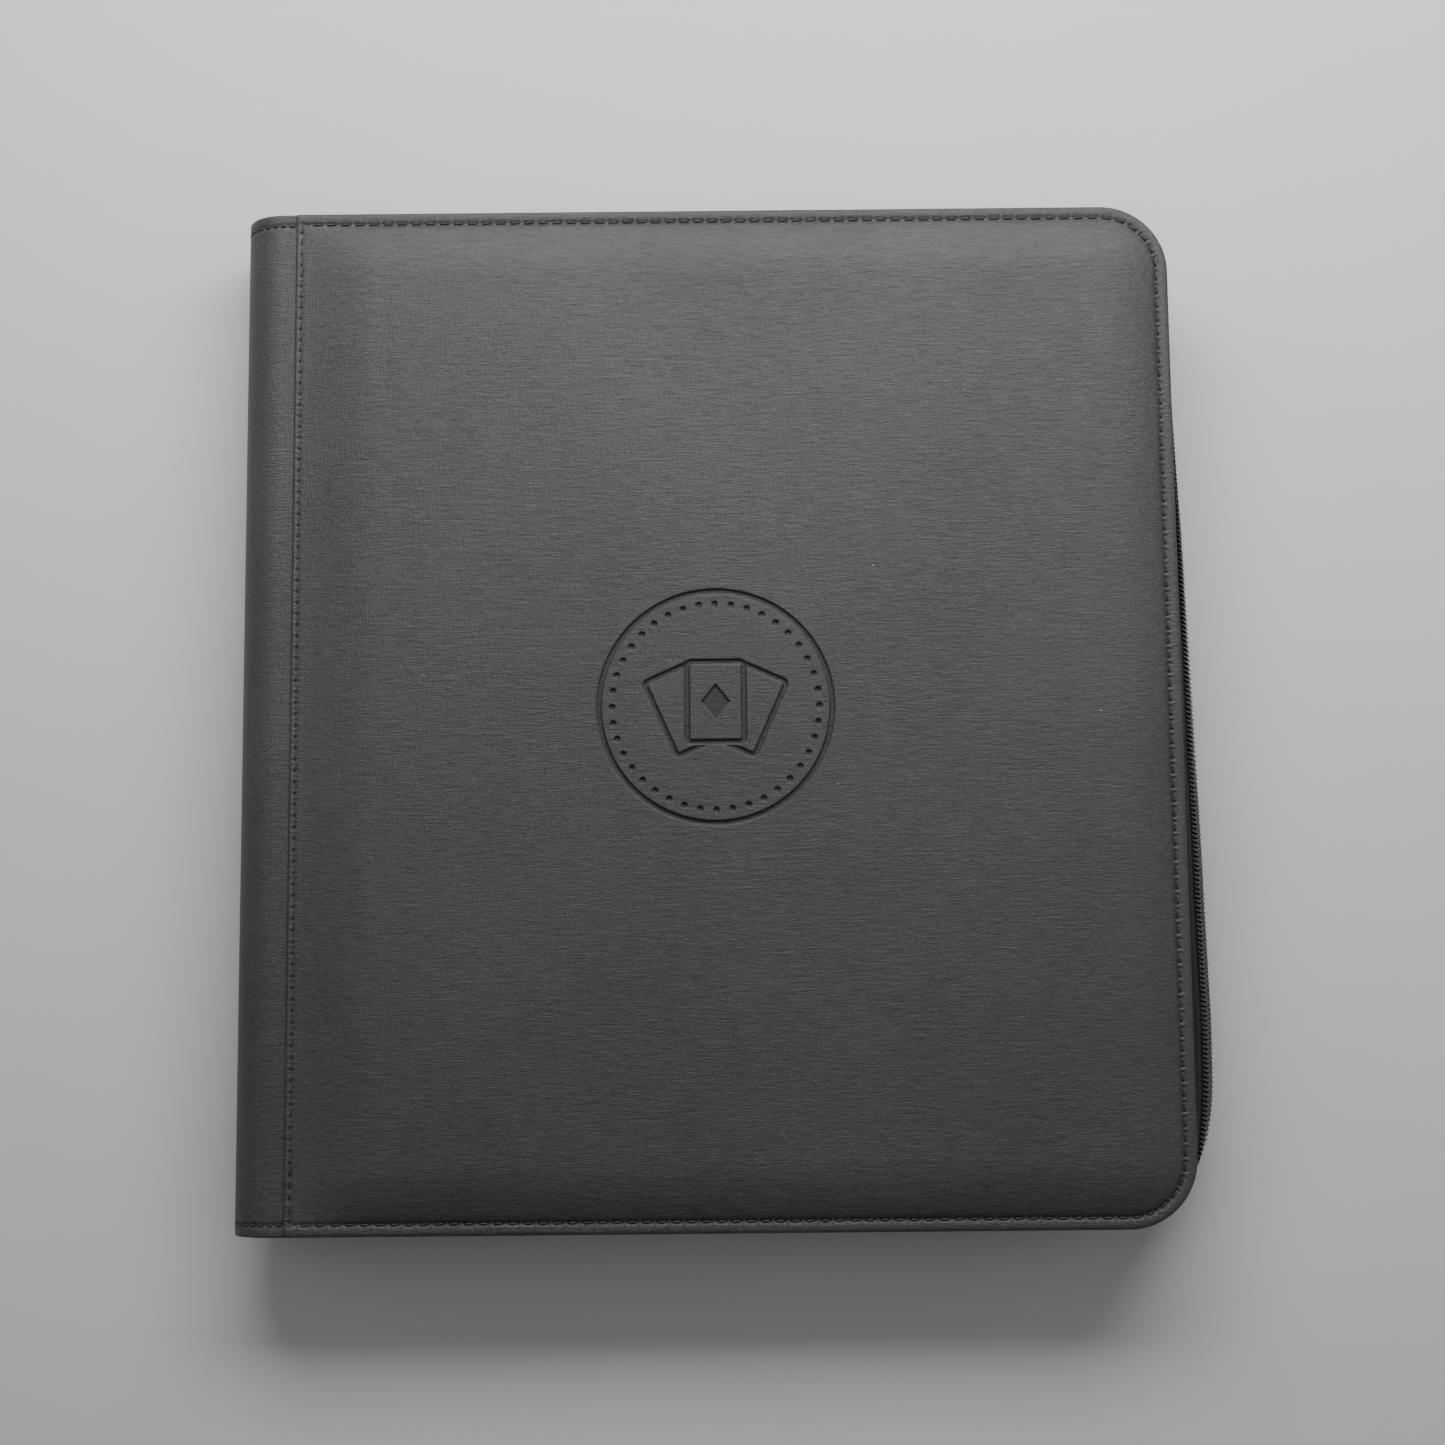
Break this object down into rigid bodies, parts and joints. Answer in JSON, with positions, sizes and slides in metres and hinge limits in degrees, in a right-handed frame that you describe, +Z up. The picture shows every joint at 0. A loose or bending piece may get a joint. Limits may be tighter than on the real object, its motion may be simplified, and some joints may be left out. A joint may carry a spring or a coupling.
{
  "type": "trading card binder",
  "caption": "Side-loading card binder with padded leather covers, a soft round spine, pages of clear pockets and a zip round three sides.",
  "frame": {"origin": "centre of the bounding box on the plane the shut binder lies on", "axes": "+X from the spine to the fore edge, +Y from the foot to the head, +Z up through the shut binder"},
  "size_m": [0.326, 0.346, 0.04],
  "materials": {
    "leather": "soft embossed grain, satin",
    "foam": "soft closed-cell foam",
    "board": "plain grey-brown board",
    "lining": "plain woven cloth",
    "thread": "waxed thread",
    "zip_tape": "woven tape",
    "zip_coil": "nylon coil",
    "binding": "stiffened cloth",
    "zip_metal": "dark enamelled zinc",
    "page_sheet": "fine-grained black sheet",
    "pocket_film": "clear film"
  },
  "bodies": {
    "back_cover": {"back_panel": "leather", "back_foam": "foam", "back_board": "board", "back_lining": "lining", "back_hinge_strip": "leather", "back_edge_stitching": "thread", "back_spine_stitching": "thread", "back_zip_tape": "zip_tape", "back_zip_coil": "zip_coil"},
    "spine": {"spine_wrap": "leather", "spine_board": "board", "spine_lining": "lining", "page_binding_block": "binding"},
    "front_cover": {"front_panel": "leather", "front_foam": "foam", "front_board": "board", "front_lining": "lining", "front_hinge_strip": "leather", "front_edge_stitching": "thread", "front_spine_stitching": "thread", "front_zip_tape": "zip_tape", "front_zip_coil": "zip_coil"},
    "zip_slider_body": {"zip_slider": "zip_metal"},
    "zip_pull_body": {"zip_pull": "zip_metal"},
    "page_01": {"page_01_sheet": "page_sheet", "page_01_pockets": "pocket_film"},
    "page_02": {"page_02_sheet": "page_sheet", "page_02_pockets": "pocket_film"},
    "page_03": {"page_03_sheet": "page_sheet", "page_03_pockets": "pocket_film"},
    "page_04": {"page_04_sheet": "page_sheet", "page_04_pockets": "pocket_film"},
    "page_05": {"page_05_sheet": "page_sheet", "page_05_pockets": "pocket_film"},
    "page_06": {"page_06_sheet": "page_sheet", "page_06_pockets": "pocket_film"},
    "page_07": {"page_07_sheet": "page_sheet", "page_07_pockets": "pocket_film"},
    "page_08": {"page_08_sheet": "page_sheet", "page_08_pockets": "pocket_film"},
    "page_09": {"page_09_sheet": "page_sheet", "page_09_pockets": "pocket_film"},
    "page_10": {"page_10_sheet": "page_sheet", "page_10_pockets": "pocket_film"},
    "page_11": {"page_11_sheet": "page_sheet", "page_11_pockets": "pocket_film"},
    "page_12": {"page_12_sheet": "page_sheet", "page_12_pockets": "pocket_film"},
    "page_13": {"page_13_sheet": "page_sheet", "page_13_pockets": "pocket_film"},
    "page_14": {"page_14_sheet": "page_sheet", "page_14_pockets": "pocket_film"},
    "page_15": {"page_15_sheet": "page_sheet", "page_15_pockets": "pocket_film"},
    "page_16": {"page_16_sheet": "page_sheet", "page_16_pockets": "pocket_film"}
  },
  "joints": [
    {"name": "spine_fold", "type": "hinge", "parent": "back_cover", "child": "spine", "pos_m": [-0.16, 0, 0.0082], "axis": [0, -1, 0], "range_deg": [0, 90]},
    {"name": "cover_fold", "type": "hinge", "parent": "spine", "child": "front_cover", "pos_m": [-0.16, 0, 0.0318], "axis": [0, -1, 0], "range_deg": [0, 90]},
    {"name": "zip_slide", "type": "slide", "parent": "back_cover", "child": "zip_slider_body", "axis": [1, 0, 0], "range_m": [0, 0.2515]},
    {"name": "zip_pull_swing", "type": "hinge", "parent": "zip_slider_body", "child": "zip_pull_body", "pos_m": [-0.13, 0.17055, 0.02], "axis": [0, 0, 1], "range_deg": [0, 165]},
    {"name": "page_01_turn", "type": "hinge", "parent": "spine", "child": "page_01", "pos_m": [-0.15387, 0, 0.01025], "axis": [0, -1, 0], "range_deg": [-76.5, 0]},
    {"name": "page_02_turn", "type": "hinge", "parent": "spine", "child": "page_02", "pos_m": [-0.15387, 0, 0.01155], "axis": [0, -1, 0], "range_deg": [-73.5, 0]},
    {"name": "page_03_turn", "type": "hinge", "parent": "spine", "child": "page_03", "pos_m": [-0.15387, 0, 0.01285], "axis": [0, -1, 0], "range_deg": [-70.5, 0]},
    {"name": "page_04_turn", "type": "hinge", "parent": "spine", "child": "page_04", "pos_m": [-0.15387, 0, 0.01415], "axis": [0, -1, 0], "range_deg": [-67.5, 0]},
    {"name": "page_05_turn", "type": "hinge", "parent": "spine", "child": "page_05", "pos_m": [-0.15387, 0, 0.01545], "axis": [0, -1, 0], "range_deg": [-64.5, 0]},
    {"name": "page_06_turn", "type": "hinge", "parent": "spine", "child": "page_06", "pos_m": [-0.15387, 0, 0.01675], "axis": [0, -1, 0], "range_deg": [-61.5, 0]},
    {"name": "page_07_turn", "type": "hinge", "parent": "spine", "child": "page_07", "pos_m": [-0.15387, 0, 0.01805], "axis": [0, -1, 0], "range_deg": [-58.5, 0]},
    {"name": "page_08_turn", "type": "hinge", "parent": "spine", "child": "page_08", "pos_m": [-0.15387, 0, 0.01935], "axis": [0, -1, 0], "range_deg": [-55.5, 0]},
    {"name": "page_09_turn", "type": "hinge", "parent": "spine", "child": "page_09", "pos_m": [-0.15387, 0, 0.02065], "axis": [0, -1, 0], "range_deg": [0, 55.5]},
    {"name": "page_10_turn", "type": "hinge", "parent": "spine", "child": "page_10", "pos_m": [-0.15387, 0, 0.02195], "axis": [0, -1, 0], "range_deg": [0, 58.5]},
    {"name": "page_11_turn", "type": "hinge", "parent": "spine", "child": "page_11", "pos_m": [-0.15387, 0, 0.02325], "axis": [0, -1, 0], "range_deg": [0, 61.5]},
    {"name": "page_12_turn", "type": "hinge", "parent": "spine", "child": "page_12", "pos_m": [-0.15387, 0, 0.02455], "axis": [0, -1, 0], "range_deg": [0, 64.5]},
    {"name": "page_13_turn", "type": "hinge", "parent": "spine", "child": "page_13", "pos_m": [-0.15387, 0, 0.02585], "axis": [0, -1, 0], "range_deg": [0, 67.5]},
    {"name": "page_14_turn", "type": "hinge", "parent": "spine", "child": "page_14", "pos_m": [-0.15387, 0, 0.02715], "axis": [0, -1, 0], "range_deg": [0, 70.5]},
    {"name": "page_15_turn", "type": "hinge", "parent": "spine", "child": "page_15", "pos_m": [-0.15387, 0, 0.02845], "axis": [0, -1, 0], "range_deg": [0, 73.5]},
    {"name": "page_16_turn", "type": "hinge", "parent": "spine", "child": "page_16", "pos_m": [-0.15387, 0, 0.02975], "axis": [0, -1, 0], "range_deg": [0, 76.5]}
  ],
  "couplings": [
    {"joint": "cover_fold", "follows": "spine_fold", "ratio": 1},
    {"joint": "page_01_turn", "follows": "spine_fold", "ratio": -0.8444},
    {"joint": "page_02_turn", "follows": "spine_fold", "ratio": -0.8111},
    {"joint": "page_03_turn", "follows": "spine_fold", "ratio": -0.7778},
    {"joint": "page_04_turn", "follows": "spine_fold", "ratio": -0.7444},
    {"joint": "page_05_turn", "follows": "spine_fold", "ratio": -0.7111},
    {"joint": "page_06_turn", "follows": "spine_fold", "ratio": -0.6778},
    {"joint": "page_07_turn", "follows": "spine_fold", "ratio": -0.6444},
    {"joint": "page_08_turn", "follows": "spine_fold", "ratio": -0.6111},
    {"joint": "page_09_turn", "follows": "spine_fold", "ratio": 0.6111},
    {"joint": "page_10_turn", "follows": "spine_fold", "ratio": 0.6444},
    {"joint": "page_11_turn", "follows": "spine_fold", "ratio": 0.6778},
    {"joint": "page_12_turn", "follows": "spine_fold", "ratio": 0.7111},
    {"joint": "page_13_turn", "follows": "spine_fold", "ratio": 0.7444},
    {"joint": "page_14_turn", "follows": "spine_fold", "ratio": 0.7778},
    {"joint": "page_15_turn", "follows": "spine_fold", "ratio": 0.8111},
    {"joint": "page_16_turn", "follows": "spine_fold", "ratio": 0.8444}
  ]
}
